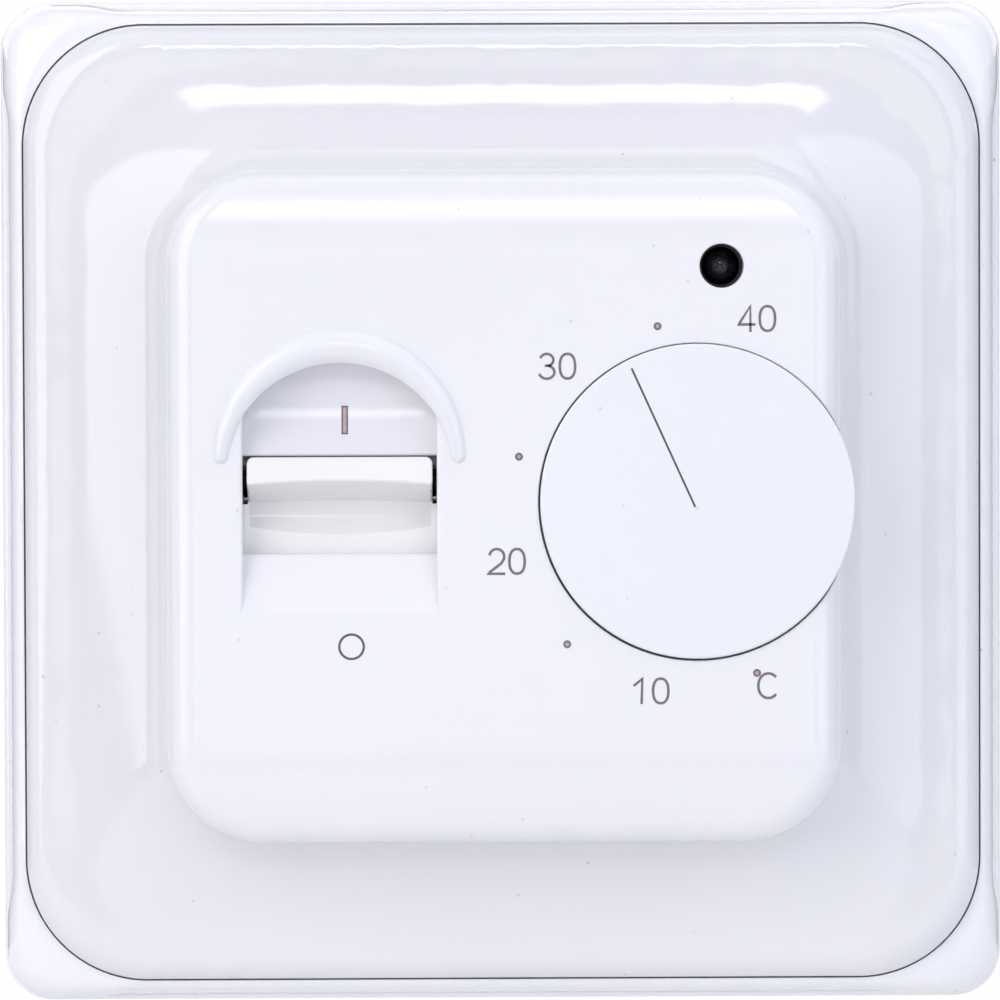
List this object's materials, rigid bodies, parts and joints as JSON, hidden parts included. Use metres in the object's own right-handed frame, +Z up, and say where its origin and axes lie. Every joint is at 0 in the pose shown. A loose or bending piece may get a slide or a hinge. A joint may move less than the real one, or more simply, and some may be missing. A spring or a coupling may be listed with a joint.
{
  "type": "wall thermostat",
  "caption": "Square flush wall thermostat with a flared frame, domed trim, centre cover, setpoint dial with pointer line, tilting on-off lever and a base module that sits in the wall box.",
  "frame": {"origin": "centre of the wall-box fixing slots, on the wall plane (back face of the steel mounting plate)", "axes": "the front looks along -Y, +Z is up, +X is to the right as seen from the front; +Y points into the wall"},
  "size_m": [0.086, 0.0429, 0.086],
  "materials": {
    "white_frame": "glossy",
    "white_trim": "glossy",
    "white_cover": "glossy",
    "white_knob": "glossy",
    "white_lever": "glossy",
    "grey_housing": "satin",
    "zinc_steel": "zinc plated",
    "plated_screw": "zinc plated",
    "pcb": "solder mask",
    "terminal_plastic": "satin",
    "clamp_metal": "tin plated",
    "brass_contact": "satin",
    "potentiometer_blue": "satin",
    "shaft_white": "satin",
    "wiper_brown": "satin",
    "relay_case": "satin",
    "film_box": "satin",
    "can_sleeve": "glossy",
    "varistor_blue": "glossy",
    "resistor_grey": "matte",
    "fuse_sleeve": "matte",
    "chip_black": "matte",
    "cup_black": "matte",
    "lamp_tint": "translucent epoxy",
    "tinned_lead": "tinned",
    "label_silver": "satin foil",
    "carriage_black": "satin",
    "pin_steel": "bright"
  },
  "bodies": {
    "base": {"outer_frame": "white_frame", "trim_frame": "white_trim", "centre_cover": "white_cover", "potentiometer_can": "potentiometer_blue", "lever_pivot_pin": "pin_steel", "switch_body": "carriage_black", "fixed_contacts": "brass_contact", "front_housing": "grey_housing", "rear_housing": "grey_housing", "mounting_plate": "zinc_steel", "base_screws": "plated_screw", "cover_screw": "plated_screw", "control_board": "pcb", "power_board": "pcb", "terminal_strip": "terminal_plastic", "terminal_screws": "plated_screw", "terminal_clamps": "clamp_metal", "relay": "relay_case", "film_capacitor": "film_box", "smoothing_capacitor": "can_sleeve", "varistor": "varistor_blue", "power_resistor": "resistor_grey", "thermal_fuse": "fuse_sleeve", "control_chip": "chip_black", "board_link_pins": "tinned_lead", "indicator_cup": "cup_black", "indicator_lamp": "lamp_tint", "indicator_leads": "tinned_lead", "rating_label": "label_silver"},
    "dial": {"setpoint_knob": "white_knob", "potentiometer_shaft": "shaft_white", "potentiometer_wiper": "wiper_brown"},
    "lever": {"power_lever": "white_lever"},
    "carriage": {"switch_carriage": "shaft_white", "bridge_contacts": "brass_contact"}
  },
  "joints": [
    {"name": "dial_turn", "type": "hinge", "parent": "base", "child": "dial", "pos_m": [0.0163, -0.012, 0.0004], "axis": [0, 1, 0], "range_deg": [-173.4, 42.4]},
    {"name": "lever_rock", "type": "hinge", "parent": "base", "child": "lever", "pos_m": [-0.0138, -0.0054, 0.0003], "axis": [1, 0, 0], "range_deg": [0, 30]},
    {"name": "carriage_slide", "type": "slide", "parent": "base", "child": "carriage", "axis": [0, 0, 1], "range_m": [0, 0.00362]}
  ],
  "couplings": [
    {"joint": "lever_rock", "follows": "carriage_slide", "rad_per_m": 144.51}
  ]
}
